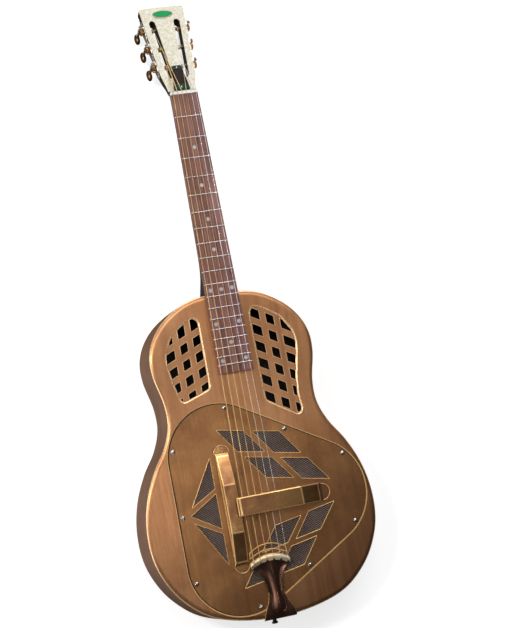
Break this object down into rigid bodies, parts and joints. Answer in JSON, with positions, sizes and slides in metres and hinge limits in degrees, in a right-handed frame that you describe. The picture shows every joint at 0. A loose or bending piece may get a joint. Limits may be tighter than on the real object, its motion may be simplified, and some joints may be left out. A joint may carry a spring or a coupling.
{
  "type": "resonator guitar",
  "caption": "Metal-bodied resonator guitar with latticed sound openings, a panelled coverplate over spun cones, a T-shaped hand rest, a slotted head and geared tuners.",
  "frame": {"origin": "on the outer face of the back, under the middle of the saddle, with the guitar lying on its back", "axes": "+X towards the treble side, +Y along the strings towards the headstock, +Z out of the top"},
  "size_m": [0.3582, 0.9743, 0.101],
  "materials": {
    "brushed_copper": "brushed antique copper plate over brass sheet",
    "cover_bronze": "brushed antique bronze plate",
    "dark_gauze": "darkened woven wire gauze",
    "rest_brass": "satin gold-brown brass",
    "screw_steel": "bright domed screw head",
    "spun_aluminium": "fine spun lines",
    "maple": "plain unfinished wood",
    "dark_mahogany": "dark satin lacquer",
    "pearloid": "mottled cream pearl sheet",
    "rosewood": "oiled open-pored brown wood",
    "bone": "polished off-white",
    "black_plate": "polished black",
    "green_enamel": "polished green",
    "wound_bronze": "fine wire winding",
    "steel_wire": "bright drawn wire",
    "antique_brass": "darkened engraved brass",
    "dark_bronze": "dark bronze plate with worn bright edges"
  },
  "bodies": {
    "guitar": {"body_top": "brushed_copper", "body_sides": "brushed_copper", "body_back": "brushed_copper", "bass_grille": "brushed_copper", "treble_grille": "brushed_copper", "soundwell": "cover_bronze", "coverplate": "cover_bronze", "cover_gauze": "dark_gauze", "handrest_long": "rest_brass", "handrest_cross": "rest_brass", "t_bridge": "spun_aluminium", "saddle": "maple", "neck": "dark_mahogany", "headplate": "pearloid", "head_badge": "green_enamel", "nut": "bone", "fretboard": "rosewood", "truss_rod_cover": "black_plate", "truss_rod": "steel_wire", "tuner_plate_bass": "antique_brass", "tuner_plate_treble": "antique_brass", "tailpiece": "dark_bronze", "tailpiece_wire": "rest_brass", "tail_bracket": "dark_bronze", "tail_hinge_pin": "antique_brass", "strap_button": "black_plate", "neck_stick": "maple", "tail_block": "maple", "cone_bass_upper": "spun_aluminium", "cone_bass_lower": "spun_aluminium", "cone_treble": "spun_aluminium", "cover_screw_1": "screw_steel", "cover_screw_2": "screw_steel", "cover_screw_3": "screw_steel", "cover_screw_4": "screw_steel", "cover_screw_5": "screw_steel", "cover_screw_6": "screw_steel", "cover_screw_7": "screw_steel", "cover_screw_8": "screw_steel", "cover_screw_9": "screw_steel", "string_1": "wound_bronze", "string_2": "wound_bronze", "string_3": "wound_bronze", "string_4": "wound_bronze", "string_5": "steel_wire", "string_6": "steel_wire"},
    "tuner_button_body_1": {"tuner_button_1": "antique_brass"},
    "string_post_body_1": {"string_post_1": "antique_brass"},
    "tuner_button_body_2": {"tuner_button_2": "antique_brass"},
    "string_post_body_2": {"string_post_2": "antique_brass"},
    "tuner_button_body_3": {"tuner_button_3": "antique_brass"},
    "string_post_body_3": {"string_post_3": "antique_brass"},
    "tuner_button_body_4": {"tuner_button_4": "antique_brass"},
    "string_post_body_4": {"string_post_4": "antique_brass"},
    "tuner_button_body_5": {"tuner_button_5": "antique_brass"},
    "string_post_body_5": {"string_post_5": "antique_brass"},
    "tuner_button_body_6": {"tuner_button_6": "antique_brass"},
    "string_post_body_6": {"string_post_6": "antique_brass"}
  },
  "joints": [
    {"name": "button_turn_1", "type": "hinge", "parent": "guitar", "child": "tuner_button_body_1", "pos_m": [-0.03402, 0.69474, 0.05633], "axis": [0, 0.2419, 0.9703], "continuous": true},
    {"name": "post_turn_1", "type": "hinge", "parent": "guitar", "child": "string_post_body_1", "pos_m": [-0.02902, 0.68778, 0.05806], "axis": [0.9977, 0.0655, -0.0163], "continuous": true},
    {"name": "button_turn_2", "type": "hinge", "parent": "guitar", "child": "tuner_button_body_2", "pos_m": [-0.03628, 0.72717, 0.04824], "axis": [0, 0.2419, 0.9703], "continuous": true},
    {"name": "post_turn_2", "type": "hinge", "parent": "guitar", "child": "string_post_body_2", "pos_m": [-0.03129, 0.72021, 0.04998], "axis": [0.9977, 0.0655, -0.0163], "continuous": true},
    {"name": "button_turn_3", "type": "hinge", "parent": "guitar", "child": "tuner_button_body_3", "pos_m": [-0.03854, 0.75961, 0.04016], "axis": [0, 0.2419, 0.9703], "continuous": true},
    {"name": "post_turn_3", "type": "hinge", "parent": "guitar", "child": "string_post_body_3", "pos_m": [-0.03355, 0.75264, 0.04189], "axis": [0.9977, 0.0655, -0.0163], "continuous": true},
    {"name": "button_turn_4", "type": "hinge", "parent": "guitar", "child": "tuner_button_body_4", "pos_m": [0.03854, 0.75961, 0.04016], "axis": [0, 0.2419, 0.9703], "continuous": true},
    {"name": "post_turn_4", "type": "hinge", "parent": "guitar", "child": "string_post_body_4", "pos_m": [0.03355, 0.75264, 0.04189], "axis": [0.9977, -0.0655, 0.0163], "continuous": true},
    {"name": "button_turn_5", "type": "hinge", "parent": "guitar", "child": "tuner_button_body_5", "pos_m": [0.03628, 0.72717, 0.04824], "axis": [0, 0.2419, 0.9703], "continuous": true},
    {"name": "post_turn_5", "type": "hinge", "parent": "guitar", "child": "string_post_body_5", "pos_m": [0.03129, 0.72021, 0.04998], "axis": [0.9977, -0.0655, 0.0163], "continuous": true},
    {"name": "button_turn_6", "type": "hinge", "parent": "guitar", "child": "tuner_button_body_6", "pos_m": [0.03402, 0.69474, 0.05633], "axis": [0, 0.2419, 0.9703], "continuous": true},
    {"name": "post_turn_6", "type": "hinge", "parent": "guitar", "child": "string_post_body_6", "pos_m": [0.02902, 0.68778, 0.05806], "axis": [0.9977, -0.0655, 0.0163], "continuous": true}
  ],
  "couplings": [
    {"joint": "post_turn_1", "follows": "button_turn_1", "ratio": 0.071429},
    {"joint": "post_turn_2", "follows": "button_turn_2", "ratio": 0.071429},
    {"joint": "post_turn_3", "follows": "button_turn_3", "ratio": 0.071429},
    {"joint": "post_turn_4", "follows": "button_turn_4", "ratio": -0.071429},
    {"joint": "post_turn_5", "follows": "button_turn_5", "ratio": -0.071429},
    {"joint": "post_turn_6", "follows": "button_turn_6", "ratio": -0.071429}
  ]
}
